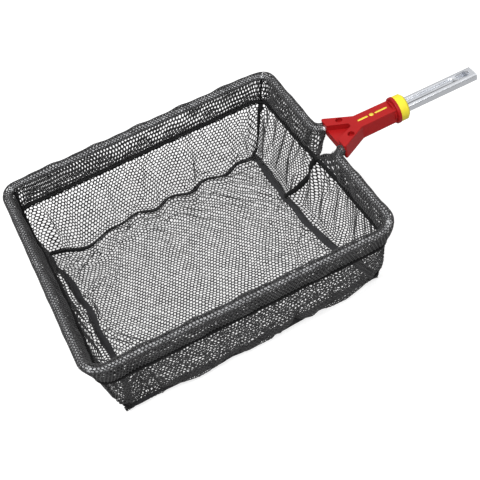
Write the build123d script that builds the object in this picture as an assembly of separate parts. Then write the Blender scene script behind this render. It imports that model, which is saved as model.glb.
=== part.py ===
"""Rectangular leaf skimmer net on a plug-in head, in millimetres.

+X runs along the handle, away from the bag, and +Z is up. The origin is under the middle of the
whole part, on the surface that the bag's floor rests on. Plan positions are first given from the
middle of the rim, and to_row() carries them into the row's frame.
"""
from build123d import *
import math
import os

# Rim and frame rod
RIM_LENGTH = 350.0          # along the handle, over the hem
RIM_WIDTH = 320.0           # across the handle, over the hem
ROD_R = 3.0
ROD_CORNER_R = 20.0
ROD_EXIT_R = 12.0
ROD_TIP_X = 206.0           # the rod's two ends, inside the head's arms
AXIS_Z = 98.0               # the rod, the head and the spigot share one height
NET_T = 1.4                 # one layer of knitted mesh
SLIP = 0.15                 # gap between the rod and what surrounds it

# Bag
HEM_DROP = 28.0
HEM_T = 2.6
FLOOR_CORNERS = [(128.0, 134.0), (-160.0, 131.0), (-152.0, -138.0), (154.0, -127.0)]
FLOOR_CORNER_R = 12.0
THROAT = (157.0, 0.0, -16.0)    # where the two handle-side hems meet, from the rim's middle and axis
TAPE_W = 7.0                # binding tape over the floor seam on three sides
FAR_TAPE_W = 4.2            # the narrower one along the far side
SEAM_W = 4.6                # upright seams
MIDDLE_FOOT_Y = 45.0        # the middle seam slants from the throat to this place on the floor seam
TAPE_T = 1.0
TAPE_GAP = 0.3              # between a tape and the mesh that it is sewn to
SEAM_INSET = NET_T + 1.0

# Head
HEAD_FAN_X = 181.0
HEAD_NECK_X = 213.0
HEAD_BODY_END_X = 256.5
HEAD_FAN_HALF = 29.5
HEAD_NECK_HALF = 11.0
HEAD_END_HALF = 10.5
HEAD_HALF_H = 9.0
POCKET_APEX_X = 203.0
POCKET_MOUTH_HALF = 14.0
POCKET_APEX_HALF = 2.6
POCKET_DEPTH = 7.0
DIMPLE_R = 4.0
DIMPLE_DEPTH = 4.2
DIMPLE_X = 197.0
DIMPLE_Y = 14.2
FLANGE_R = 15.6
FLANGE_L = 3.7
COLLAR_R = 15.0
COLLAR_L = 11.8
COLLAR_CHAMFER = 2.6
NOSE_R = 12.0
NOSE_L = 6.0

# Spigot and pins
SPIGOT_W = 18.0
SPIGOT_H = 9.2
SPIGOT_EDGE_R = 2.6
SPIGOT_WALL = 1.5
SPIGOT_ROOT_X = 218.0
SPIGOT_END_X = 361.5
GROOVE_W = 7.6
GROOVE_DEPTH = 2.2
GROOVE_END_X = 332.0
LATCH_X = 348.0
LATCH_L = 17.0
LATCH_W = 9.6
SPIGOT_PIN_R = 2.0
SPIGOT_PIN_X = 234.0
SPIGOT_PIN_L = 13.0
GRUB_R = 2.0
GRUB_GAP = 0.1              # between the screws' tips and the rod
PIN_SINK = 0.6              # how far the pin and the grub screws sit above the head's underside

# Worked out
SLEEVE_R = ROD_R + SLIP + NET_T
ROD_X = RIM_LENGTH / 2 - SLEEVE_R
ROD_Y = RIM_WIDTH / 2 - SLEEVE_R
ARM_SLOPE = (HEAD_FAN_HALF - HEAD_NECK_HALF) / (HEAD_NECK_X - HEAD_FAN_X)
ARM_MIDDLE = (HEAD_FAN_HALF + POCKET_MOUTH_HALF) / 2
ROD_EXIT_Y = ARM_MIDDLE + (HEAD_FAN_X - ROD_X) * ARM_SLOPE
SLEEVE_END_X = HEAD_FAN_X - 2.8
FLANGE_X = HEAD_BODY_END_X
COLLAR_X = FLANGE_X + FLANGE_L
COLLAR_END_X = COLLAR_X + COLLAR_L
SHIFT_X = -(SPIGOT_END_X - RIM_LENGTH / 2) / 2
HEM_LOW_Z = AXIS_Z - HEM_DROP
PIN_LOW_Z = AXIS_Z - HEAD_HALF_H + PIN_SINK
FAR = 600.0                 # reach of the cutting wedges


def to_row(shape):
    """Carry a shape from the rim's middle to the row's frame."""
    return Pos(SHIFT_X, 0, 0) * shape


def rod_path(exit_tip_x=ROD_TIP_X):
    """The rod's centre line: in through one arm, round the rim, out through the other arm."""
    tip_y = ARM_MIDDLE - (exit_tip_x - HEAD_FAN_X) * ARM_SLOPE
    corners = [(exit_tip_x, tip_y), (ROD_X, ROD_EXIT_Y), (ROD_X, ROD_Y), (-ROD_X, ROD_Y),
               (-ROD_X, -ROD_Y), (ROD_X, -ROD_Y), (ROD_X, -ROD_EXIT_Y), (exit_tip_x, -tip_y)]
    radii = [ROD_EXIT_R] + 4 * [ROD_CORNER_R] + [ROD_EXIT_R]
    return FilletPolyline(*[(x, y, AXIS_Z) for x, y in corners], radius=radii)


def along_rod(radius, exit_tip_x=ROD_TIP_X):
    """A round bar of the given radius along the rod's centre line."""
    path = rod_path(exit_tip_x)
    section = Plane(origin=path @ 0, z_dir=path % 0) * Circle(radius)
    return sweep(section, path=path)


def bag_outline(z, inset):
    """The bag's plan at height z: straight lines from the rim's corners to the floor's."""
    share = z / AXIS_Z
    rim = [(ROD_X, ROD_Y), (-ROD_X, ROD_Y), (-ROD_X, -ROD_Y), (ROD_X, -ROD_Y)]
    points = []
    for (fx, fy), (rx, ry) in zip(FLOOR_CORNERS, rim):
        x = fx + (rx - fx) * share
        y = fy + (ry - fy) * share
        points.append((x - inset * math.copysign(1, x), y - inset * math.copysign(1, y)))
    radius = max(FLOOR_CORNER_R + (ROD_CORNER_R - FLOOR_CORNER_R) * share - inset, 2.0)
    return Pos(0, 0, z) * make_face(FilletPolyline(*points, radius=radius, close=True))


def bag_ring(low, high, inset, thickness):
    """A thin wall that follows the bag's slope between two heights."""
    outer = loft([bag_outline(low, inset), bag_outline(high, inset)], ruled=True)
    within = inset + thickness
    inner = loft([bag_outline(low - 1.0, within), bag_outline(high + 1.0, within)], ruled=True)
    return outer - inner


def wedge(start, end):
    """Everything between two directions from the rim's middle, each given as a plan point."""
    corners = [(0, 0)]
    for x, y in (start, end):
        stretch = FAR / math.hypot(x, y)
        corners.append((x * stretch, y * stretch))
    return Pos(0, 0, -1) * extrude(make_face(Polyline(*corners, close=True)), AXIS_Z + 40)


def sides():
    """The five stretches that the hem and the wall are cut in, as wedges by name."""
    far_handle, far_end = (ROD_X, ROD_Y), (-ROD_X, ROD_Y)
    near_end, near_handle = (-ROD_X, -ROD_Y), (ROD_X, -ROD_Y)
    return {
        "handle_far": wedge((1, 0), far_handle),
        "far": wedge(far_handle, far_end),
        "end": wedge(far_end, near_end),
        "near": wedge(near_end, near_handle),
        "handle_near": wedge(near_handle, (1, 0)),
    }


def plate(points, thickness):
    """A flat triangular plate, centred on the plane of its three corners."""
    face = Face(Wire.make_polygon([Vector(*point) for point in points], close=True))
    return extrude(face, thickness / 2, dir=face.normal_at(), both=True)


def frame_rod():
    """One bent steel rod."""
    return along_rod(ROD_R)


def throat_web(side):
    """The cut end of a handle-side hem, drawn from the rod's exit down to the throat."""
    exit_top = (ROD_X, side * (ROD_EXIT_Y + ROD_EXIT_R), AXIS_Z)
    exit_low = (ROD_X - 7.0, side * (ROD_EXIT_Y + ROD_EXIT_R), HEM_LOW_Z + 1.0)
    arm = (HEAD_FAN_X - 3.0, side * (ARM_MIDDLE + 1.0), AXIS_Z - 2.0)
    throat = (THROAT[0], side * 1.2, AXIS_Z + THROAT[2])
    return plate([exit_top, exit_low, throat], HEM_T) + plate([exit_top, throat, arm], HEM_T)


def hems():
    """The doubled mesh sleeve round the rod, with its sewn skirt below."""
    skirt = bag_ring(HEM_LOW_Z, AXIS_Z - 1.0, -HEM_T / 2, HEM_T)
    skirt -= Pos(RIM_LENGTH / 2, 0, AXIS_Z) * Box(60, 2 * (ROD_EXIT_Y + ROD_EXIT_R), 80)
    sleeve = along_rod(SLEEVE_R, SLEEVE_END_X)
    whole = sleeve + skirt + throat_web(1) + throat_web(-1)
    whole -= along_rod(ROD_R + SLIP)
    return {"hem_" + name: whole & part for name, part in sides().items()}


def slant(from_y, to_y):
    """What lies between two offsets from the middle seam's slanting line, along the whole of +X."""
    slope = MIDDLE_FOOT_Y / HEM_LOW_Z
    low, high = -10.0, HEM_LOW_Z + 10.0
    corners = [(from_y + (HEM_LOW_Z - low) * slope, low), (to_y + (HEM_LOW_Z - low) * slope, low),
               (to_y + (HEM_LOW_Z - high) * slope, high), (from_y + (HEM_LOW_Z - high) * slope, high)]
    across = Plane(origin=(0, 0, 0), x_dir=(0, 1, 0), z_dir=(1, 0, 0))
    return extrude(across * make_face(Polyline(*corners, close=True)), FAR)


def walls():
    """Single mesh walls from the hem down to the floor panel."""
    ring = bag_ring(NET_T, HEM_LOW_Z - 0.1, 0.0, NET_T)
    parts = sides()
    handle_side = ring & (parts["handle_far"] + parts["handle_near"])
    beyond_seam = slant(0.0, FAR)
    nodes = {"wall_" + name: ring & parts[name] for name in ("far", "end", "near")}
    nodes["wall_handle_far"] = handle_side & beyond_seam
    nodes["wall_handle_near"] = handle_side - beyond_seam
    return nodes


def floor_panel():
    """The flat mesh floor, which the bag stands on."""
    return extrude(bag_outline(0.0, 0.0), NET_T)


def tape_ring(width):
    """A flat tape of the given width all the way round the floor, just inside the walls."""
    edge = NET_T + TAPE_GAP
    outer = extrude(bag_outline(NET_T, edge), TAPE_T)
    return outer - extrude(bag_outline(NET_T, edge + width), TAPE_T)


def floor_tapes():
    """Binding tapes that cover the floor seam inside the bag, one along each side."""
    ring = tape_ring(TAPE_W)
    parts = sides()
    return {
        "floor_tape_far": tape_ring(FAR_TAPE_W) & parts["far"],
        "floor_tape_end": ring & parts["end"],
        "floor_tape_near": ring & parts["near"],
        "floor_tape_handle": ring & (parts["handle_far"] + parts["handle_near"]),
    }


def middle_seam():
    """The slanting seam of the handle-side wall, from the throat down to the floor seam."""
    ring = bag_ring(NET_T + TAPE_T + TAPE_GAP, HEM_LOW_Z - TAPE_GAP, SEAM_INSET, TAPE_T)
    return ring & slant(-SEAM_W / 2, SEAM_W / 2)


def corner_seams():
    """The four upright corner seams, as narrow tapes inside the bag's corners."""
    ring = bag_ring(NET_T + TAPE_T + TAPE_GAP, HEM_LOW_Z - TAPE_GAP, SEAM_INSET, TAPE_T)
    strips = []
    for x, y in [(ROD_X, ROD_Y), (-ROD_X, ROD_Y), (-ROD_X, -ROD_Y), (ROD_X, -ROD_Y)]:
        angle = math.degrees(math.atan2(y, x))
        strips += (ring & (Rot(0, 0, angle) * Pos(FAR / 2, 0, 0) * Box(FAR, SEAM_W, 2 * AXIS_Z))).solids()
    return Compound(children=strips)


def spigot_outline(half_w, half_h, edge_r, groove_w, groove_depth):
    """The spigot's section: a rounded oblong, plain and with a groove along its top."""
    section = RectangleRounded(2 * half_w, 2 * half_h, edge_r)
    notch = Pos(0, half_h) * RectangleRounded(groove_w, 2 * groove_depth, groove_depth * 0.45)
    return section, section - notch


def along_x(section, start, end):
    """A section drawn in Y and Z, carried from one X to another at the axis height."""
    plane = Plane(origin=(start, 0, AXIS_Z), x_dir=(0, 1, 0), z_dir=(1, 0, 0))
    return extrude(plane * section, end - start)


def spigot_envelope():
    """The spigot's outside, full length and without its slot, and the groove to cut from it."""
    half_w = SPIGOT_W / 2
    half_h = SPIGOT_H / 2
    full, notched = spigot_outline(half_w, half_h, SPIGOT_EDGE_R, GROOVE_W, GROOVE_DEPTH)
    body = along_x(full, SPIGOT_ROOT_X, SPIGOT_END_X)
    groove = along_x(full - notched, SPIGOT_ROOT_X - 1.0, GROOVE_END_X)
    nose = Pos(GROOVE_END_X, 0, AXIS_Z + half_h) * Cylinder(GROOVE_W / 2, 2 * GROOVE_DEPTH)
    return body, groove + nose


def spigot():
    """The plated steel profile tube that plugs into a pole, with its latch slot."""
    body, groove = spigot_envelope()
    inner_w = SPIGOT_W / 2 - SPIGOT_WALL
    inner_h = SPIGOT_H / 2 - SPIGOT_WALL
    bore, notched = spigot_outline(inner_w, inner_h, 1.1, GROOVE_W + 2 * SPIGOT_WALL, GROOVE_DEPTH)
    cavity = along_x(bore, SPIGOT_ROOT_X - 1.0, SPIGOT_END_X + 1.0)
    roof = along_x(bore - notched, SPIGOT_ROOT_X - 1.0, GROOVE_END_X)
    roof += (Pos(GROOVE_END_X, 0, AXIS_Z + inner_h)
             * Cylinder(GROOVE_W / 2 + SPIGOT_WALL, 2 * GROOVE_DEPTH))
    slot = Pos(LATCH_X, 0, AXIS_Z) * extrude(SlotOverall(LATCH_L, LATCH_W), SPIGOT_H, both=True)
    return body - groove - (cavity - roof) - slot - spigot_pin()


def spigot_pin():
    """The steel pin that ties the spigot's root to the head, from below."""
    return Pos(SPIGOT_PIN_X, 0, PIN_LOW_Z + SPIGOT_PIN_L / 2) * Cylinder(SPIGOT_PIN_R, SPIGOT_PIN_L)


def recess_places():
    """Where the head has its round recesses, above the rod's two ends."""
    return [(DIMPLE_X, DIMPLE_Y), (DIMPLE_X, -DIMPLE_Y)]


def rod_grub_screws():
    """The two grub screws that clamp the rod's ends in the head, from below."""
    length = AXIS_Z - ROD_R - GRUB_GAP - PIN_LOW_Z
    screws = [Pos(x, y, PIN_LOW_Z + length / 2) * Cylinder(GRUB_R, length) for x, y in recess_places()]
    return Compound(children=screws)


def nose():
    """The round spout of the head that the collar ring is snapped over."""
    length = 2 * NOSE_L
    return Pos(COLLAR_X, 0, AXIS_Z) * Rot(0, 90, 0) * Cylinder(NOSE_R, length)


def head():
    """The one-piece moulded head: two arms for the rod, a body for the spigot, and a flange."""
    outline = [(HEAD_FAN_X, HEAD_FAN_HALF), (HEAD_NECK_X, HEAD_NECK_HALF),
               (HEAD_BODY_END_X + 1.0, HEAD_END_HALF), (HEAD_BODY_END_X + 1.0, -HEAD_END_HALF),
               (HEAD_NECK_X, -HEAD_NECK_HALF), (HEAD_FAN_X, -HEAD_FAN_HALF)]
    plan = make_face(Polyline(*outline, close=True))
    block = Pos(0, 0, AXIS_Z - HEAD_HALF_H) * extrude(plan, 2 * HEAD_HALF_H)
    upright = block.edges().filter_by(Axis.Z).group_by(Axis.X)[0]
    block = fillet(upright, 2.0)
    neck = block.edges().filter_by(Axis.Z).filter_by_position(Axis.X, HEAD_NECK_X - 1, HEAD_NECK_X + 1)
    block = fillet(neck, 4.0)
    rims = block.edges().filter_by_position(Axis.Z, AXIS_Z + HEAD_HALF_H - 0.01, AXIS_Z + 20)
    rims += block.edges().filter_by_position(Axis.Z, 0, AXIS_Z - HEAD_HALF_H + 0.01)
    block = fillet(rims.filter_by(lambda e: (e @ 0.5).X < HEAD_BODY_END_X), 1.0)
    flange = Pos(FLANGE_X + FLANGE_L / 2, 0, AXIS_Z) * Rot(0, 90, 0) * Cylinder(FLANGE_R, FLANGE_L)
    flange = fillet(flange.edges().group_by(Axis.X)[0], 1.2)
    body = block + flange + nose()

    mouth, apex = POCKET_MOUTH_HALF, POCKET_APEX_HALF
    slope = (mouth - apex) / (POCKET_APEX_X - HEAD_FAN_X)
    reach = HEAD_FAN_X - 5.0
    pocket = make_face(Polyline((reach, mouth + 5 * slope), (POCKET_APEX_X, apex),
                                (POCKET_APEX_X, -apex), (reach, -mouth - 5 * slope), close=True))
    pocket = fillet(pocket.vertices().sort_by(Axis.X)[-2:], apex * 0.8)
    body -= Pos(0, 0, AXIS_Z + HEAD_HALF_H - POCKET_DEPTH) * extrude(pocket, POCKET_DEPTH + 5)
    for x, y in recess_places():
        body -= Pos(x, y, AXIS_Z + HEAD_HALF_H) * Cylinder(DIMPLE_R, 2 * DIMPLE_DEPTH)
    for screw in rod_grub_screws().solids():
        body -= screw
    body -= along_rod(ROD_R)
    envelope, groove = spigot_envelope()
    body -= envelope - groove
    return body - spigot_pin()


def collar_ring():
    """The moulded ring that is snapped over the head's nose, against the flange."""
    ring = Pos(COLLAR_X + COLLAR_L / 2, 0, AXIS_Z) * Rot(0, 90, 0) * Cylinder(COLLAR_R, COLLAR_L)
    ring = chamfer(ring.edges().group_by(Axis.X)[-1], COLLAR_CHAMFER)
    envelope, groove = spigot_envelope()
    return ring - nose() - (envelope - groove)


def parts():
    """Every node by name, in the rim's frame."""
    nodes = {
        "frame_rod": frame_rod(),
        "head": head(),
        "collar_ring": collar_ring(),
        "spigot": spigot(),
        "spigot_pin": spigot_pin(),
        "rod_grub_screws": rod_grub_screws(),
        "floor_panel": floor_panel(),
        "middle_seam": middle_seam(),
        "corner_seams": corner_seams(),
    }
    nodes.update(hems())
    nodes.update(walls())
    nodes.update(floor_tapes())
    return nodes


os.makedirs("parts", exist_ok=True)
for node, shape in parts().items():
    export_step(to_row(shape), "parts/" + node + ".step")
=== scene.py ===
"""Leaf skimmer net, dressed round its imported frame. Metres; +X along the handle, +Z up.

Lengths in the sections below are in millimetres until put_mesh() scales them.
"""
import math

import bmesh
import bpy
import numpy as np
from mathutils import Matrix, Vector


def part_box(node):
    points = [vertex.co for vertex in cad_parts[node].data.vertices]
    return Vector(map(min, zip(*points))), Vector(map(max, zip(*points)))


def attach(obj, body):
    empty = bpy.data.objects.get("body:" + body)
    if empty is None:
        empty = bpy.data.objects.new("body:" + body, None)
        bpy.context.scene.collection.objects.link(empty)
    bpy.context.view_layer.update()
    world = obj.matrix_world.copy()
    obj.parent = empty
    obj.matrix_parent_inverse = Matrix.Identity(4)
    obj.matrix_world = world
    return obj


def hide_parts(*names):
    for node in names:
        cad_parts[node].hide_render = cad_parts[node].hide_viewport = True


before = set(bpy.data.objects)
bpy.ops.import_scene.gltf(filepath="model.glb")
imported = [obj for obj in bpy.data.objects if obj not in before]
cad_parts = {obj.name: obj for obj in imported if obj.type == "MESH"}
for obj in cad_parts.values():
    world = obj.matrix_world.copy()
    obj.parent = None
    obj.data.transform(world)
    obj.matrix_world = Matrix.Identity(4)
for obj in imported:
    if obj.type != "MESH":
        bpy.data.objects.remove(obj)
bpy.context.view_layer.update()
MM = 0.001

# ---------------------------------------------------------------- camera, floor and studio light
# A long lens looks down on the bag from its long side, tilted so that the handle rises to the right.
# The floor is pale paper that also glows to the lens, and the sky brightens from horizon to overhead.
half_rim_length = 175.0
rim_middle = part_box("hem_end")[0][0] / MM + half_rim_length
axis_z = 98.0
target = Vector((rim_middle + 28.7, -78.6, axis_z)) * MM
aim = Vector((0.1566, 0.6835, -0.7130)).normalized()
camera_distance = 1.1154
camera_roll = math.radians(-16.27)
camera_data = bpy.data.cameras.new("camera")
camera_data.lens = 80.6
camera_data.sensor_width = 36.0
camera_data.clip_start = 0.05
camera_data.clip_end = 20.0
camera = bpy.data.objects.new("camera", camera_data)
bpy.context.collection.objects.link(camera)
upright = aim.to_track_quat("-Z", "Y").to_matrix().to_4x4()
tilt = Matrix.Rotation(camera_roll, 4, "Z")
camera.matrix_world = Matrix.Translation(target - aim * camera_distance) @ upright @ tilt
bpy.context.scene.camera = camera

reach = 6.0
paper_grey = 0.42
paper_glow = 0.72
floor_mesh = bpy.data.meshes.new("studio_floor")
floor_mesh.from_pydata([(-reach, -reach, 0), (reach, -reach, 0), (reach, reach, 0), (-reach, reach, 0)],
                       [], [(0, 1, 2, 3)])
studio_floor = bpy.data.objects.new("studio_floor", floor_mesh)
bpy.context.collection.objects.link(studio_floor)
floor_paint = bpy.data.materials.new("pale_floor")
floor_paint.use_nodes = True
floor_nodes, floor_links = floor_paint.node_tree.nodes, floor_paint.node_tree.links
floor_bsdf = floor_nodes["Principled BSDF"]
floor_bsdf.inputs["Base Color"].default_value = (paper_grey, paper_grey, paper_grey, 1)
floor_bsdf.inputs["Roughness"].default_value = 0.9
floor_bsdf.inputs["Specular IOR Level"].default_value = 0.0
floor_bsdf.inputs["Emission Color"].default_value = (1, 1, 1, 1)
seen = floor_nodes.new("ShaderNodeLightPath")
glow = floor_nodes.new("ShaderNodeMath")
glow.operation = "MULTIPLY"
glow.inputs[1].default_value = paper_glow
floor_links.new(seen.outputs["Is Camera Ray"], glow.inputs[0])
floor_links.new(glow.outputs["Value"], floor_bsdf.inputs["Emission Strength"])
floor_mesh.materials.append(floor_paint)

horizon_strength = 0.12
overhead_strength = 0.95
full_height = 0.85
world = bpy.data.worlds.new("studio")
bpy.context.scene.world = world
world.use_nodes = True
sky, sky_links = world.node_tree.nodes, world.node_tree.links
height = sky.new("ShaderNodeSeparateXYZ")
sky_links.new(sky.new("ShaderNodeTexCoord").outputs["Generated"], height.inputs["Vector"])
shade = sky.new("ShaderNodeMapRange")
shade.inputs["From Max"].default_value = full_height
shade.inputs["To Min"].default_value = horizon_strength
shade.inputs["To Max"].default_value = overhead_strength
sky_links.new(height.outputs["Z"], shade.inputs["Value"])
direct = sky.new("ShaderNodeLightPath")
strength = sky.new("ShaderNodeMath")
strength.operation = "MAXIMUM"
sky_links.new(direct.outputs["Is Camera Ray"], strength.inputs[0])
sky_links.new(shade.outputs["Result"], strength.inputs[1])
sky_links.new(strength.outputs["Value"], sky["Background"].inputs["Strength"])
sky["Background"].inputs["Color"].default_value = (1, 1, 1, 1)


def softbox(name, place, size, watts):
    """A square area light at place, facing the bag. Its place and size are in metres."""
    data = bpy.data.lights.new(name, "AREA")
    data.size = size
    data.energy = watts
    lamp = bpy.data.objects.new(name, data)
    bpy.context.collection.objects.link(lamp)
    lamp.matrix_world = Matrix.Translation(place) @ (-place).to_track_quat("-Z", "Y").to_matrix().to_4x4()


softbox("key", Vector((-0.7, -0.5, 1.8)), 0.9, 24)
softbox("front", Vector((0.52, -1.5, 1.45)), 0.6, 6)
bpy.context.scene.view_settings.view_transform = "Standard"

# ---------------------------------------------------------------- the rim's line and the hem's seam line
# The rod leaves the far arm, goes round the rim and enters the near arm. The seam line below it runs
# beside it, 28 mm down, and both its ends are drawn together at the throat under the head.
skirt_depth = 28.0
rod_r = 3.0
rod_x, rod_y = 170.45, 155.45
exit_y = 27.85
arm = (180.7, 21.9)
throat = (157.0, 0.0, 82.0)
floor_corners = [(128.0, 134.0), (-160.0, 131.0), (-152.0, -138.0), (154.0, -127.0)]


def rounded_path(corners, radii, steps):
    """Straight runs joined by tangent arcs, with steps[k] spans on each run and each arc in turn.

    An arc is the rational quadratic curve between its two tangent points, whose middle weight is the
    cosine of half the turn: a true circle. Returns the points and the index of each arc's middle.
    """
    points = np.array(corners, float)
    points[:, 0] += rim_middle
    pieces, middles, count = [], [], 0
    here = points[0]
    for k, radius in enumerate(radii, start=1):
        back = points[k - 1] - points[k]
        ahead = points[k + 1] - points[k]
        back /= np.linalg.norm(back)
        ahead /= np.linalg.norm(ahead)
        half_turn = (math.pi - math.acos(np.clip(back @ ahead, -1, 1))) / 2
        leg = radius * math.tan(half_turn)
        start, end = points[k] + back * leg, points[k] + ahead * leg
        run = np.linspace(0, 1, steps[2 * k - 2], endpoint=False)[:, None]
        pieces.append(here + (start - here) * run)
        u = np.linspace(0, 1, steps[2 * k - 1], endpoint=False)[:, None]
        weight = math.cos(half_turn)
        share = (1 - u) ** 2 + 2 * u * (1 - u) * weight + u ** 2
        pieces.append(((1 - u) ** 2 * start + 2 * u * (1 - u) * weight * points[k] + u ** 2 * end) / share)
        middles.append(count + steps[2 * k - 2] + steps[2 * k - 1] // 2)
        count += steps[2 * k - 2] + steps[2 * k - 1]
        here = end
    last = np.linspace(0, 1, steps[-1] + 1)[:, None]
    pieces.append(here + (points[-1] - here) * last)
    return np.concatenate(pieces), middles


def seam_corner(corner, rim_corner):
    """Where the bag's slope from the rim's corner to the floor's meets the seam's height."""
    share = seam_z / axis_z
    return [corner[0] + (rim_corner[0] - corner[0]) * share,
            corner[1] + (rim_corner[1] - corner[1]) * share, seam_z]


seam_z = axis_z - skirt_depth
rim_corners = [(rod_x, rod_y), (-rod_x, rod_y), (-rod_x, -rod_y), (rod_x, -rod_y)]
seam_corners = [seam_corner(f, r) for f, r in zip(floor_corners, rim_corners)]
path_steps = [4, 8, 32, 12, 100, 12, 92, 12, 100, 12, 32, 8, 4]
rod_line, rod_middles = rounded_path(
    [(arm[0], arm[1], axis_z), (rod_x, exit_y, axis_z)]
    + [(x, y, axis_z) for x, y in rim_corners]
    + [(rod_x, -exit_y, axis_z), (arm[0], -arm[1], axis_z)],
    [12, 20, 20, 20, 20, 12], path_steps)
# The seam leaves the throat at drawn_y on both sides, and the outer end's seam leans inwards by end_lean.
drawn_y = 38.0
end_lean = 6.0
drawn_far = (seam_corners[0][0] + 1.5, drawn_y, seam_z)
drawn_near = (seam_corners[3][0] - 1.0, -drawn_y, seam_z)
seam_line, seam_middles = rounded_path([throat, drawn_far] + seam_corners + [drawn_near, throat],
                                       [16, 18, 18, 18, 18, 16], path_steps)
end_run = np.arange(seam_middles[2], seam_middles[3] + 1)
seam_line[end_run, 0] += end_lean * np.sin(math.pi * np.linspace(0, 1, len(end_run))) ** 0.7

# ---------------------------------------------------------------- frame rod
# One steel rod, 6 mm thick, bent round the whole rim, with its ends out in the head's two arms. Its
# dull bright zinc shows at the arms and as a pale core through the holes of the sleeve.


def surface_grain():
    """Shader group: fine noise in object space, given as a mask and as a bumped normal."""
    group = bpy.data.node_groups.new("surface_grain", "ShaderNodeTree")
    for name, value in (("Scale", 900.0), ("Stretch", 1.0), ("Depth", 0.1)):
        socket = group.interface.new_socket(name, in_out="INPUT", socket_type="NodeSocketFloat")
        socket.default_value = value
    group.interface.new_socket("Mask", in_out="OUTPUT", socket_type="NodeSocketFloat")
    group.interface.new_socket("Normal", in_out="OUTPUT", socket_type="NodeSocketVector")
    nodes, links = group.nodes, group.links
    taken = nodes.new("NodeGroupInput")
    given = nodes.new("NodeGroupOutput")
    place = nodes.new("ShaderNodeTexCoord")
    squeeze = nodes.new("ShaderNodeCombineXYZ")
    squeeze.inputs["Y"].default_value = 1.0
    squeeze.inputs["Z"].default_value = 1.0
    links.new(taken.outputs["Stretch"], squeeze.inputs["X"])
    scaled = nodes.new("ShaderNodeVectorMath")
    scaled.operation = "MULTIPLY"
    links.new(place.outputs["Object"], scaled.inputs[0])
    links.new(squeeze.outputs["Vector"], scaled.inputs[1])
    noise = nodes.new("ShaderNodeTexNoise")
    noise.inputs["Detail"].default_value = 3.0
    links.new(scaled.outputs["Vector"], noise.inputs["Vector"])
    links.new(taken.outputs["Scale"], noise.inputs["Scale"])
    bump = nodes.new("ShaderNodeBump")
    bump.inputs["Distance"].default_value = 0.0004
    links.new(noise.outputs["Fac"], bump.inputs["Height"])
    links.new(taken.outputs["Depth"], bump.inputs["Strength"])
    links.new(noise.outputs["Fac"], given.inputs["Mask"])
    links.new(bump.outputs["Normal"], given.inputs["Normal"])
    return group


grain_group = surface_grain()


def grained(name, dark, light, rough, scale, depth, stretch=1.0, mottle=60.0, **constants):
    """A material whose colour drifts between dark and light over its mottle and whose bump is fine grain.

    rough is the least and the most roughness. The constants go straight to the shader's sockets.
    """
    material = bpy.data.materials.new(name)
    material.use_nodes = True
    nodes, links = material.node_tree.nodes, material.node_tree.links
    shader = nodes["Principled BSDF"]
    fine = nodes.new("ShaderNodeGroup")
    fine.node_tree = grain_group
    fine.inputs["Scale"].default_value = scale
    fine.inputs["Stretch"].default_value = stretch
    fine.inputs["Depth"].default_value = depth
    broad = nodes.new("ShaderNodeGroup")
    broad.node_tree = grain_group
    broad.inputs["Scale"].default_value = mottle
    colour = nodes.new("ShaderNodeMix")
    colour.data_type = "RGBA"
    colour.inputs[6].default_value = (*dark, 1)
    colour.inputs[7].default_value = (*light, 1)
    blend = nodes.new("ShaderNodeMath")
    blend.operation = "ADD"
    centred_fine = nodes.new("ShaderNodeMath")
    centred_fine.operation = "MULTIPLY_ADD"
    centred_fine.inputs[1].default_value = 0.8
    centred_fine.inputs[2].default_value = -0.4
    links.new(fine.outputs["Mask"], centred_fine.inputs[0])
    links.new(broad.outputs["Mask"], blend.inputs[0])
    links.new(centred_fine.outputs["Value"], blend.inputs[1])
    links.new(blend.outputs["Value"], colour.inputs["Factor"])
    links.new(colour.outputs[2], shader.inputs["Base Color"])
    spread = nodes.new("ShaderNodeMapRange")
    spread.inputs["To Min"].default_value = rough[0]
    spread.inputs["To Max"].default_value = rough[1]
    links.new(blend.outputs["Value"], spread.inputs["Value"])
    links.new(spread.outputs["Result"], shader.inputs["Roughness"])
    links.new(fine.outputs["Normal"], shader.inputs["Normal"])
    for socket, value in constants.items():
        shader.inputs[socket.replace("_", " ")].default_value = value
    return material


zinc = grained("rod_zinc", (0.80, 0.81, 0.83), (0.92, 0.93, 0.95), (0.25, 0.42), 700, 0.15,
               Metallic=0.15)
bpy.data.objects["frame_rod"].material_slots[0].material = zinc

# ---------------------------------------------------------------- knitted mesh
# Every panel of the bag is cut from one black warp-knit polyester mesh, whose holes lie in staggered
# rows 3.7 mm apart. The knit is laid over a grid of cloth points, hole by hole.
hole_pitch = 4.35
row_pitch = 3.7
strand = 1.48
strand_half_t = 0.58


def put_mesh(name, points, faces):
    """A smooth mesh object at the origin from points in millimetres."""
    mesh = bpy.data.meshes.new(name)
    mesh.from_pydata((np.asarray(points) * MM).tolist(), [], np.asarray(faces).tolist())
    mesh.shade_smooth()
    piece = bpy.data.objects.new(name, mesh)
    bpy.context.collection.objects.link(piece)
    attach(piece, "root")
    return piece


yarn = grained("knit_yarn", (0.012, 0.012, 0.013), (0.045, 0.044, 0.046), (0.5, 0.75), 2600, 0.6,
               Sheen_Weight=0.2, Sheen_Roughness=0.5, Specular_IOR_Level=0.25)


def cubic_weights(f):
    """Catmull-Rom weights and slopes of four grid points, f of the way from the second to the third."""
    weights = 0.5 * np.stack([-f + 2 * f ** 2 - f ** 3, 2 - 5 * f ** 2 + 3 * f ** 3,
                              f + 4 * f ** 2 - 3 * f ** 3, -f ** 2 + f ** 3])
    slopes = 0.5 * np.stack([-1 + 4 * f - 3 * f ** 2, -10 * f + 9 * f ** 2,
                             1 + 8 * f - 9 * f ** 2, -2 * f + 3 * f ** 2])
    return weights, slopes


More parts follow.
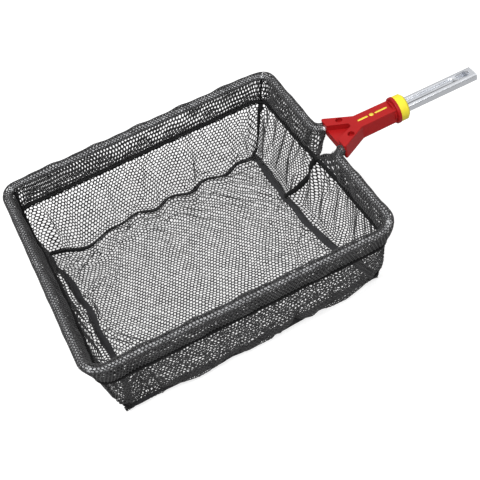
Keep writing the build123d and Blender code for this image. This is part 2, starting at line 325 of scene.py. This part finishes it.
def on_cloth(grid, across, along):
    """Points and unit normals of the smooth surface through a grid, at shares of its rows and columns.

    The surface is the product of two Catmull-Rom curves; its normal is the cross product of its slopes.
    """
    rows, cols = grid.shape[:2]
    v = np.clip(across, 0, 1) * (rows - 1)
    u = np.clip(along, 0, 1) * (cols - 1)
    row = np.minimum(v.astype(int), rows - 2)
    col = np.minimum(u.astype(int), cols - 2)
    row_w, row_s = cubic_weights(v - row)
    col_w, col_s = cubic_weights(u - col)
    place, slope_u, slope_v = 0, 0, 0
    for a in range(4):
        for b in range(4):
            corner = grid[np.clip(row + a - 1, 0, rows - 1), np.clip(col + b - 1, 0, cols - 1)]
            place = place + (row_w[a] * col_w[b])[:, None] * corner
            slope_u = slope_u + (row_w[a] * col_s[b])[:, None] * corner
            slope_v = slope_v + (row_s[a] * col_w[b])[:, None] * corner
    normal = np.cross(slope_u, slope_v)
    normal /= np.maximum(np.linalg.norm(normal, axis=1, keepdims=True), 1e-9)
    return place, normal


def knit(name, grid, width, length, seed, rounds=(1, -1), tight=1.0):
    """Knitted mesh over a grid of cloth points, width along its columns and length down its rows.

    Holes sit on a staggered lattice of hexagons. Each knot of the lattice has a point above and one
    below the cloth, and each hole's rim lies between them, so every strand is a closed ridge. On the
    sides in rounds, a third ring of points between knot and rim makes the strand an oval. At the
    panel's edge both points of a knot are one. A tight knit has more holes on the same ground, and each
    strand keeps its width.
    """
    random = np.random.default_rng(seed)
    holes = max(2, round(width * tight / hole_pitch))
    rows = max(2, round(length / row_pitch))
    i, j = np.meshgrid(np.arange(holes), np.arange(rows))
    i, j = i.ravel(), j.ravel()
    inside = (j % 2 == 0) | (i < holes - 1)
    i, j = i[inside], j[inside]
    centre = np.stack([2 * i + 1 + j % 2, 6 * j + 3], axis=1)
    turn = np.array([(0, 4), (-1, 2), (-1, -2), (0, -4), (1, -2), (1, 2)])
    keys = (centre[:, None] + turn).reshape(-1, 2)
    knots, owner, uses = np.unique(keys, axis=0, return_inverse=True, return_counts=True)
    owner = owner.reshape(-1, 6)
    full = np.array([2 * holes, 6 * rows])
    stray = 0.035 * (uses == 3)[:, None] * random.standard_normal(knots.shape) * (1, 3)
    knot_share = (knots + stray) / full
    corner = (knots + stray)[owner]
    hole_centre = corner.mean(axis=1, keepdims=True)
    narrow = strand * tight / hole_pitch * (1 + 0.12 * random.standard_normal((len(centre), 1, 1)))
    knot_at, knot_normal = on_cloth(grid, knot_share[:, 1], knot_share[:, 0])
    lift = strand_half_t * (uses == 3)[:, None] * knot_normal
    points = [knot_at + lift, knot_at - lift]

    def ring(share, height):
        """Six points of each hole, share of the way from knot to rim and lifted by height."""
        spot = ((hole_centre + (corner - hole_centre) * (1 - narrow * share)) / full).reshape(-1, 2)
        at, normal = on_cloth(grid, spot[:, 1], spot[:, 0])
        points.append(at + height * normal)
        return sum(map(len, points[:-1])) + np.arange(len(at)).reshape(-1, 6)

    after = np.roll(np.arange(6), -1)
    rim = ring(1.0, 0.0)
    faces = []
    for side, start in ((1, owner), (-1, np.where(uses[owner] == 3, owner + len(knots), owner))):
        steps = [start, ring(0.62, side * 0.78 * strand_half_t), rim] if side in rounds else [start, rim]
        for outer, inner in zip(steps[:-1], steps[1:]):
            quads = np.stack([outer, outer[:, after], inner[:, after], inner], axis=2).reshape(-1, 4)
            faces.append(quads[:, ::side])
    used, faces = np.unique(np.concatenate(faces), return_inverse=True)
    piece = put_mesh(name, np.concatenate(points)[used], faces.reshape(-1, 4))
    piece.data.materials.append(yarn)
    return piece


def lengths(line):
    """Distance along a line of points, from its first."""
    return np.concatenate([[0], np.cumsum(np.linalg.norm(np.diff(line, axis=0), axis=1))])


# ---------------------------------------------------------------- hems
# Each side's hem is a strip of mesh folded over the rod and sewn to itself and to the wall 28 mm
# below, so two layers hang from it. The strip is 72 mm wide, and the two on the handle side are cut
# short and drawn down to the throat. Sewing gathers its knit, so that its holes are smaller.
hem_width = 72.0
hem_tight = 1.14
sleeve_mid = rod_r + 1.3 + strand_half_t
stitch_gap = 0.9
pucker = 1.1
skirt_rows, fold_rows = 9, 8


def ripple(along, down, phase):
    """Soft puckers of sewn cloth: three waves of unlike length along the strip, fading at its edges."""
    waves = (np.sin(along / 7.3 + phase) + 0.8 * np.sin(along / 12.7 + 1.9 * phase)
             + 0.6 * np.sin(along / 4.4 + 2.7 * phase + 0.05 * down))
    return waves * np.sin(np.clip(down, 0, 1) * math.pi)


tangent = np.gradient(rod_line, axis=0)
tangent /= np.linalg.norm(tangent, axis=1, keepdims=True)
outward = np.stack([tangent[:, 1], -tangent[:, 0], np.zeros(len(tangent))], axis=1)
up = np.array([0.0, 0.0, 1.0])
along_rim = lengths((rod_line + seam_line) / 2)
down_share = np.linspace(0, 1, skirt_rows)[:, None, None]
inner_top = rod_line - outward * sleeve_mid
outer_top = rod_line + outward * sleeve_mid
inner_skirt = seam_line - outward * stitch_gap + (inner_top - seam_line + outward * stitch_gap) * down_share
outer_skirt = outer_top + (seam_line + outward * stitch_gap - outer_top) * down_share
inner_skirt = inner_skirt - outward * pucker * ripple(along_rim, down_share[:, :, 0], 0.4)[:, :, None]
outer_skirt = outer_skirt + outward * pucker * ripple(along_rim, down_share[:, :, 0], 2.1)[:, :, None]
# Over the rod the fold stands off by a waver of loose cloth, most at the top.
fold_angle = np.linspace(math.pi, 0, fold_rows + 2)[1:-1, None, None]
loose = 0.9 + 0.8 * np.sin(along_rim / 9.1) + 0.5 * np.sin(along_rim / 4.3 + 1.0)
fold_r = sleeve_mid + np.maximum(loose, 0)[None, :, None] * np.sin(fold_angle)
fold = rod_line + fold_r * (np.cos(fold_angle) * outward + np.sin(fold_angle) * up)
hem_grid = np.concatenate([inner_skirt, fold, outer_skirt])


corner_at = [0] + rod_middles[1:5] + [len(rod_line) - 1]
side_names = ["handle_far", "far", "end", "near", "handle_near"]
for k, side in enumerate(side_names):
    stretch = slice(corner_at[k], corner_at[k + 1] + 1)
    hem_length = along_rim[corner_at[k + 1]] - along_rim[corner_at[k]]
    hem = knit("mesh_hem_" + side, hem_grid[::-1, stretch], hem_length, hem_width, 10 + k, tight=hem_tight)
    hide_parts("hem_" + side)

# ---------------------------------------------------------------- walls and floor
# The walls are single panels, sewn to the hems above and to the floor panel below, with some slack.
# They hang from the seam line, and the floor panel lies on the ground. On the handle side the seam
# between the two walls slants down to its foot, middle_foot_y from the middle.
cloth_step = 5.0
floor_x_steps, floor_y_steps = 58, 52
wall_rows = 14
rest_z = 1.2
middle_foot_y = 45.0
slack = 0.06


def far_seam_bow(share):
    """How far the slack far seam lies inwards: a flat bow, even scallops and a bulge near the outer end."""
    bow = 9.5 * np.sqrt(np.sin(math.pi * np.clip(share, 0, 1)))
    scallops = -5.0 * np.cos(2 * math.pi * (share - 0.255) / 0.165)
    bulge = 15.0 * np.exp(-((share - 0.82) / 0.085) ** 2)
    return bow + bulge + scallops * np.clip(8 * share, 0, 1) * np.clip(6 * (0.74 - share), 0, 1)


def end_seam_bow(share):
    """How far the outer end's seam lies inwards: hardly at the far corner, then 13 mm all the way along."""
    return 13.0 * np.sin(math.pi * np.clip((share - 0.12) / 0.88, 0, 1)) ** 0.4


def handle_seam_bow(share):
    """How far the handle side's seam lies inwards, most at a little past its middle."""
    return 14.0 * np.sin(math.pi * share ** 1.15)


row_share, col_share = np.meshgrid(np.linspace(0, 1, floor_y_steps + 1),
                                   np.linspace(0, 1, floor_x_steps + 1), indexing="ij")
far_handle, far_end, near_end, near_handle = [np.array([x + rim_middle, y, rest_z])
                                              for x, y in floor_corners]
far_edge = far_handle + (far_end - far_handle) * col_share[..., None]
far_edge[..., 1] -= far_seam_bow(col_share)
near_edge = near_handle + (near_end - near_handle) * col_share[..., None]
floor_grid = far_edge + (near_edge - far_edge) * row_share[..., None]
floor_grid[..., 0] += col_share * end_seam_bow(row_share) - (1 - col_share) * handle_seam_bow(row_share)

floor_ids = np.arange(floor_grid.shape[0] * floor_grid.shape[1]).reshape(floor_grid.shape[:2])
foot_share = (far_handle[1] - middle_foot_y) / (far_handle[1] - near_handle[1])
middle_row = round(floor_y_steps * foot_share)
loop_ids = np.concatenate([floor_ids[middle_row:0:-1, 0], floor_ids[0, :-1], floor_ids[:-1, -1],
                           floor_ids[-1, :0:-1], floor_ids[:middle_row:-1, 0]])
loop_marks = [0, middle_row, middle_row + floor_x_steps, middle_row + floor_x_steps + floor_y_steps,
              middle_row + 2 * floor_x_steps + floor_y_steps, len(loop_ids)]
top_share = np.interp(np.arange(len(loop_ids)), loop_marks, [along_rim[m] for m in corner_at])
top_line = np.stack([np.interp(top_share, along_rim, seam_line[:, axis]) for axis in range(3)], axis=1)
floor_points = floor_grid.reshape(-1, 3)
down = np.linspace(0, 1, wall_rows + 1)[:-1, None, None]
wall_points = top_line + (floor_points[loop_ids] - top_line) * down

# Beside the corners the walls are pushed in by upright tucks, where the slack gathers. Each is a bell
# across the columns that fades at the top and the bottom; its place and its depth are given in turn.
tucks = [(loop_marks[1] - 3.2, 11.0), (loop_marks[1] + 2.6, 9.0), (loop_marks[2] - 4.0, 6.0),
         (loop_marks[3] + 5.0, 7.0)]
bag_middle = np.array([rim_middle, 0, 40.0])
for tuck_column, tuck_depth in tucks:
    column = np.arange(len(loop_ids)) - tuck_column + 1.2 * (down[..., 0] - 0.5)
    inwards = bag_middle - wall_points
    inwards /= np.linalg.norm(inwards, axis=2, keepdims=True)
    push = tuck_depth * np.exp(-(column / 1.1) ** 2) * np.sin(math.pi * down[..., 0]) ** 0.7
    wall_points = wall_points + inwards * push[..., None]
wall_ids = len(floor_points) + np.arange(wall_rows * len(loop_ids)).reshape(wall_rows, -1)
wall_ids = np.vstack([wall_ids, loop_ids])


def grid_faces(ids):
    """Quads between neighbouring rows and columns of point numbers."""
    return np.stack([ids[:-1, :-1], ids[:-1, 1:], ids[1:, 1:], ids[1:, :-1]], axis=2).reshape(-1, 4)


def hang(points, faces, held, frames):
    """The rest shape of slack cloth, held at the points that held marks with weights 0 to 1.

    Cloth simulation from the cut shape, with the ground under it, read back as an array.
    """
    mesh = bpy.data.meshes.new("cut_cloth")
    mesh.from_pydata((points * MM).tolist(), [], faces.tolist())
    cloth = bpy.data.objects.new("cut_cloth", mesh)
    bpy.context.collection.objects.link(cloth)
    group = cloth.vertex_groups.new(name="held")
    for weight in np.unique(held[held > 0]):
        group.add(np.flatnonzero(held == weight).tolist(), float(weight), "REPLACE")
    modifier = cloth.modifiers.new("hang", "CLOTH")
    settings = modifier.settings
    settings.quality = 6
    settings.mass = 0.1
    settings.tension_stiffness = 12
    settings.compression_stiffness = 8
    settings.shear_stiffness = 4
    settings.bending_stiffness = 0.12
    settings.air_damping = 2.0
    settings.vertex_group_mass = "held"
    settings.shrink_min = -slack
    modifier.collision_settings.distance_min = 0.001
    modifier.point_cache.frame_end = frames
    ground = bpy.data.objects.new("ground", floor_mesh.copy())
    bpy.context.collection.objects.link(ground)
    ground.modifiers.new("ground", "COLLISION")
    ground.collision.thickness_outer = 0.001
    scene = bpy.context.scene
    scene.frame_end = frames
    for step in range(1, frames + 1):
        scene.frame_set(step)
    shaped = cloth.evaluated_get(bpy.context.evaluated_depsgraph_get())
    flat = np.empty(3 * len(points))
    shaped.data.vertices.foreach_get("co", flat)
    scene.frame_set(1)
    for temporary in (cloth, ground):
        data = temporary.data
        bpy.data.objects.remove(temporary)
        bpy.data.meshes.remove(data)
    return flat.reshape(-1, 3) / MM


bag_points = np.concatenate([floor_points, wall_points.reshape(-1, 3)])
ring_ids = np.hstack([wall_ids, wall_ids[:, :1]])
bag_faces = np.concatenate([grid_faces(floor_ids), grid_faces(ring_ids)])
held = np.zeros(len(bag_points))
held[wall_ids[0]] = 1.0
held[loop_ids] = 0.95
held[floor_ids[[0, 0, -1, -1], [0, -1, -1, 0]]] = 1.0
bag_points = hang(bag_points, bag_faces, held, frames=45)
bag_points[:, 2] = np.maximum(bag_points[:, 2], rest_z)


def mean_length(grid):
    """The mean length of a grid's rows, each measured along its points."""
    return np.linalg.norm(np.diff(grid, axis=1), axis=2).sum(axis=1).mean()


floor_cloth = bag_points[floor_ids]
wall_cloth = bag_points[ring_ids]
floor_length = mean_length(floor_cloth)
floor_width = mean_length(floor_cloth.transpose(1, 0, 2))
floor_piece = knit("mesh_floor", floor_cloth, floor_length, floor_width, 30, rounds=(1,))
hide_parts("floor_panel")
for k, side in enumerate(side_names):
    stretch = slice(loop_marks[k], loop_marks[k + 1] + 1)
    wall_grid = wall_cloth[::-1, stretch]
    wall_width = mean_length(wall_grid)
    wall_length = mean_length(wall_grid.transpose(1, 0, 2))
    wall = knit("mesh_wall_" + side, wall_grid, wall_width, wall_length, 20 + k)
    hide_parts("wall_" + side)

# ---------------------------------------------------------------- floor tapes
# Dark grey polyester binding, 7 mm wide, folded over the raw seam between floor and walls and sewn
# down inside the bag; along the near side it is narrower. Along the far side the seam is only
# overlocked in black, which leaves a narrow, wavy ridge.
tape_t = 0.9
tape_widths = {"far": 4.2, "near": 4.4, "end": 7.0, "handle": 7.0}
ground_gap = 0.3
iron_rounds = 12


def slab(name, upper, lower, finish, slot):
    """A closed sheet between two grids of points, with a UV map in millimetres along and across it."""
    rows, cols = upper.shape[:2]
    count = rows * cols
    ids = np.arange(count).reshape(rows, cols)
    loop = np.concatenate([ids[0, :-1], ids[:-1, -1], ids[-1, :0:-1], ids[:0:-1, 0]])
    after = np.roll(loop, -1)
    wall_quads = np.stack([after, loop, loop + count, after + count], axis=1)
    faces = np.concatenate([grid_faces(ids), grid_faces(ids + count)[:, ::-1], wall_quads])
    piece = put_mesh(name, np.concatenate([upper.reshape(-1, 3), lower.reshape(-1, 3)]), faces)
    along = np.broadcast_to(lengths(upper[rows // 2]), (rows, cols))
    across = np.broadcast_to(lengths(upper[:, cols // 2])[:, None], (rows, cols))
    spots = np.stack([along, across], axis=2).reshape(-1, 2)
    spots = np.concatenate([spots, spots])
    uv = piece.data.uv_layers.new(name="tape")
    uv.data.foreach_set("uv", spots[faces.reshape(-1)].ravel())
    piece.data.materials.append(finish)
    return piece


def tape_finish(name, dark, light):
    """Woven tape: fine cross ribs in the tape's own UV, over a mottled colour between dark and light."""
    material = grained(name, dark, light, (0.65, 0.85), 1800, 0.3, Sheen_Weight=0.05,
                       Specular_IOR_Level=0.15)
    nodes, links = material.node_tree.nodes, material.node_tree.links
    place = nodes.new("ShaderNodeUVMap")
    place.uv_map = "tape"
    ribs = nodes.new("ShaderNodeTexWave")
    ribs.inputs["Scale"].default_value = 0.45
    ribs.inputs["Distortion"].default_value = 0.6
    links.new(place.outputs["UV"], ribs.inputs["Vector"])
    bump = nodes.new("ShaderNodeBump")
    bump.inputs["Strength"].default_value = 0.5
    bump.inputs["Distance"].default_value = 0.0003
    links.new(ribs.outputs["Fac"], bump.inputs["Height"])
    shader = nodes["Principled BSDF"]
    links.new(shader.inputs["Normal"].links[0].from_socket, bump.inputs["Normal"])
    links.new(bump.outputs["Normal"], shader.inputs["Normal"])
    return material


grey_tape = tape_finish("grey_seam_tape", (0.016, 0.016, 0.018), (0.05, 0.05, 0.053))
black_tape = tape_finish("black_seam_tape", (0.003, 0.003, 0.003), (0.010, 0.010, 0.011))


def tape_on(grid, across, along, lift):
    """Upper and lower grids of a tape on cloth: its own grid of shares, lifted along the cloth's normal.

    Neither grid goes below the ground.
    """
    v, u = np.broadcast_arrays(across, along)
    at, normal = on_cloth(grid, v.ravel(), u.ravel())
    lift = np.broadcast_to(lift, v.shape).reshape(-1, 1)
    upper = (at + normal * (lift + tape_t)).reshape(*v.shape, 3)
    lower = (at + normal * lift).reshape(*v.shape, 3)
    lower[..., 2] = np.maximum(lower[..., 2], ground_gap)
    upper[..., 2] = np.maximum(upper[..., 2], lower[..., 2] + ground_gap)
    return upper, lower


def ironed(grid):
    """A grid evened out along its rows: each inner point moves to its and its neighbours' mean."""
    for _ in range(iron_rounds):
        grid[:, 1:-1] = (grid[:, :-2] + grid[:, 1:-1] + grid[:, 2:]) / 3
    return grid


# A tape stands highest at its outer edge, over the seam. Two of the four have their rows the other way
# round, so those are turned, and the faces of all four point outwards.
along_tape = np.linspace(0, 1, 140)
step = np.linspace(0, 1, 7)
lift = 0.8 + 2.6 * (1 - step) ** 2
for side, width in tape_widths.items():
    if side in ("far", "near"):
        across = step * width / (floor_y_steps * cloth_step)
        v = across if side == "far" else 1 - across
        upper, lower = tape_on(floor_cloth, v[:, None], along_tape[None, :], lift[:, None])
        turned = side == "near"
    else:
        across = step * width / (floor_x_steps * cloth_step)
        u = across if side == "handle" else 1 - across
        upper, lower = tape_on(floor_cloth, along_tape[None, :], u[:, None], lift[:, None])
        turned = side == "handle"
    upper, lower = ironed(upper), ironed(lower)
    if turned:
        upper, lower = upper[::-1], lower[::-1]
    finish = black_tape if side == "far" else grey_tape
    tape = slab("tape_floor_" + side, upper, lower, finish, "seam_tape")
    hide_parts("floor_tape_" + side)

# ---------------------------------------------------------------- upright seams
# The wall panels meet at the bag's corners, and on the handle side in a seam that slants from the
# throat to its foot. All five are bound in black, and their bindings stand a little proud of the cloth.
seam_w = 4.8
strip_steps = 6
across_seam = np.linspace(-1, 1, 5)
u = 0.5 + seam_w / 2 / cloth_step / strip_steps * across_seam
v = np.linspace(0.0, 0.985, 36)
lift = 0.65 + 0.5 * np.cos(across_seam * math.pi / 2)
strips = []
for mark in loop_marks[:-1]:
    columns = np.arange(mark - strip_steps // 2, mark + strip_steps // 2 + 1) % len(loop_ids)
    strips.append(tape_on(wall_cloth[:, columns], v[:, None], u[None, :], lift[None, :]))
middle = slab("middle_seam_binding", *strips[0], black_tape, "seam_tape")
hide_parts("middle_seam")
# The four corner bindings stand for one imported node.
corner_strips = [slab("corner_seam_%d" % (k + 1), *pair, black_tape, "seam_tape")
                 for k, pair in enumerate(strips[1:])]
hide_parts("corner_seams")

# ---------------------------------------------------------------- hem seams and stitches
# Black thread. An overlocked ridge closes each face of the hem along its lower edge, joins the hem's
# strips at the corners, and binds the cut edges that run from the arms to the throat. Those edges are
# rolled up first, and a knot gathers everything at the throat.
thread = grained("black_thread", (0.004, 0.004, 0.004), (0.014, 0.014, 0.015), (0.5, 0.7), 3000, 0.5,
                 Specular_IOR_Level=0.15)


def frames_along(line, guide):
    """Unit tangent, side and upward directions along a line, the side being the guide made square to it."""
    forward = np.gradient(line, axis=0)
    forward /= np.linalg.norm(forward, axis=1, keepdims=True)
    side = guide - (guide * forward).sum(axis=1, keepdims=True) * forward
    side /= np.linalg.norm(side, axis=1, keepdims=True)
    return forward, side, np.cross(forward, side)


def respaced(line, step):
    """The same line with points every step, by linear interpolation of its length."""
    far = lengths(line)
    spots = np.linspace(0, far[-1], max(3, round(far[-1] / step)))
    return np.stack([np.interp(spots, far, line[:, axis]) for axis in range(3)], axis=1), spots


def overlock(name, line, radius, pitch):
    """A ridge of looped thread: a closed tube whose radius rises and falls as a helix of two strands."""
    line, far = respaced(line, pitch / 5)
    guide = np.broadcast_to(up, line.shape)
    _, side, rise = frames_along(line, guide)
    angle = np.linspace(0, 2 * math.pi, 8, endpoint=False)
    swell = radius * (1 + 0.22 * np.cos(2 * angle[None, :] - 2 * math.pi * far[:, None] / pitch))
    swell[[0, -1]] *= 0.05
    ring = (np.cos(angle)[None, :, None] * side[:, None] + np.sin(angle)[None, :, None] * rise[:, None])
    points = (line[:, None] + ring * swell[:, :, None]).reshape(-1, 3)
    ids = np.arange(len(points)).reshape(len(line), 8)
    piece = put_mesh(name, points, grid_faces(np.hstack([ids, ids[:, :1]]))[:, ::-1])
    piece.data.materials.append(thread)
    return piece


overlock("hem_seam_inside", seam_line - outward * (stitch_gap + 0.9), 1.7, 2.8)
overlock("hem_seam_outside", seam_line + outward * (stitch_gap + 0.7), 1.6, 2.6)
for k, column in enumerate(corner_at[1:-1], start=1):
    joint = hem_grid[:skirt_rows + 1, column] - outward[column] * 0.7
    overlock("hem_corner_seam_%d" % k, joint, 1.5, 2.8)


def rolled_edge(side, line, radius):
    """Mesh rolled up round a line: a spiral of one and a quarter turns that fattens and thins along it."""
    _, across, rise = frames_along(line, np.broadcast_to(up, line.shape))
    turn = np.linspace(0, 2.5 * math.pi, 11)[:, None, None]
    swell = 1 + 0.25 * np.sin(lengths(line) / 3.1)[None, :, None]
    spiral = radius * swell * (0.8 + 0.2 * turn / turn[-1])
    grid = line + spiral * (np.cos(turn) * across + np.sin(turn) * rise)
    length, around = lengths(line)[-1], mean_length(grid.transpose(1, 0, 2))
    roll = knit("mesh_roll_" + side, grid, length, around, 40, tight=1.3)


edge_sag = 3.0 * np.sin(math.pi * np.linspace(0, 1, 14))
for side, column, radius in (("handle_far", 0, 2.2), ("handle_near", -1, 3.4)):
    edge = np.linspace(rod_line[column] - (0, 0, 2.0), seam_line[column], 14)
    edge[:, 2] -= edge_sag
    rolled_edge(side, edge, radius)
    overlock("cut_edge_" + side, edge, 1.6, 2.8)
throat_middle = np.array(throat) + (rim_middle, 0, 0)
overlock("throat_knot", throat_middle + np.linspace(-1, 1, 8)[:, None] * (0.5, 4.5, 0.5), 3.2, 3.0)

# ---------------------------------------------------------------- head, its pin and its grub screws
# One red moulding, satin from a fine spark-eroded mould. From below, two grub screws of ground steel
# clamp the rod's ends in its arms, and a pin of the same steel ties the spigot's root to it.
red = grained("red_moulding", (0.34, 0.006, 0.008), (0.43, 0.012, 0.012), (0.32, 0.45), 1400, 0.08,
              Specular_IOR_Level=0.2)
ground_steel = grained("ground_steel", (0.35, 0.35, 0.36), (0.5, 0.5, 0.51), (0.3, 0.5), 1800, 0.15,
                       Metallic=1.0)
for node, finish in (("head", red), ("spigot_pin", ground_steel), ("rod_grub_screws", ground_steel)):
    bpy.data.objects[node].material_slots[0].material = finish

# ---------------------------------------------------------------- collar ring
# A yellow ring, moulded with the same skin as the head, 30 mm across and pushed against its flange.
yellow = grained("yellow_moulding", (0.84, 0.70, 0.03), (0.90, 0.78, 0.05), (0.32, 0.45), 1400, 0.08,
                 Specular_IOR_Level=0.3)
sharp_turn = math.radians(32)
same_point = 1e-6


def dressed(name, node, finish):
    """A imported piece's mesh, smooth over its roundings, and sharp where it turns more than sharp_turn."""
    mesh = bpy.data.objects[node].data.copy()
    merged = bmesh.new()
    merged.from_mesh(mesh)
    bmesh.ops.remove_doubles(merged, verts=merged.verts, dist=same_point)
    merged.to_mesh(mesh)
    merged.free()
    mesh.shade_smooth()
    mesh.set_sharp_from_angle(angle=sharp_turn)
    mesh.materials.clear()
    mesh.materials.append(finish)
    piece = bpy.data.objects.new(name, mesh)
    bpy.context.collection.objects.link(piece)
    even = piece.modifiers.new("even", "WEIGHTED_NORMAL")
    even.keep_sharp = True
    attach(piece, "root")
    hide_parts(node)


dressed("collar", "collar_ring", yellow)

# ---------------------------------------------------------------- spigot
# A profile tube of plated steel with a groove along its top and a slot for the pole's catch. It is
# drawn through a die, which leaves fine lines along it under the plating.
plated = grained("plated_steel", (0.72, 0.74, 0.78), (0.88, 0.90, 0.94), (0.17, 0.25), 1500, 0.01,
                 stretch=0.03, Metallic=1.0)
dressed("plated_spigot", "spigot", plated)

# ---------------------------------------------------------------- printed mark
# A plain yellow print on the head's flat top: two bars with a dot between them, with no meaning.
# The flat top lies 9 mm above the collar's middle.
print_paint = grained("yellow_print", (0.80, 0.60, 0.05), (0.92, 0.74, 0.08), (0.4, 0.5), 1200, 0.05)
collar_r = 15.0
mark_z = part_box("collar_ring")[0][2] / MM + collar_r + 9.0


def printed(name, middle_x, half_length, half_width):
    """A thin printed patch with round ends: its half width falls off as a circle past its straight run."""
    x = half_length * np.sin(np.linspace(-1, 1, 25) * math.pi / 2)
    past = np.maximum(np.abs(x) - half_length + half_width, 0) / half_width
    y = half_width * np.sqrt(np.maximum(1 - past ** 2, 1e-3))
    level = np.full((2, len(x)), mark_z)
    outline = np.stack([np.tile(x + middle_x, (2, 1)), np.stack([-y, y]), level], axis=2)
    slab(name, outline + (0, 0, 0.12), outline - (0, 0, 0.02), print_paint, "yellow_plastic")


printed("print_bar_1", rim_middle + 219.5, 6.5, 1.3)
printed("print_dot", rim_middle + 230.5, 2.6, 2.5)
printed("print_bar_2", rim_middle + 242.5, 7.8, 1.3)
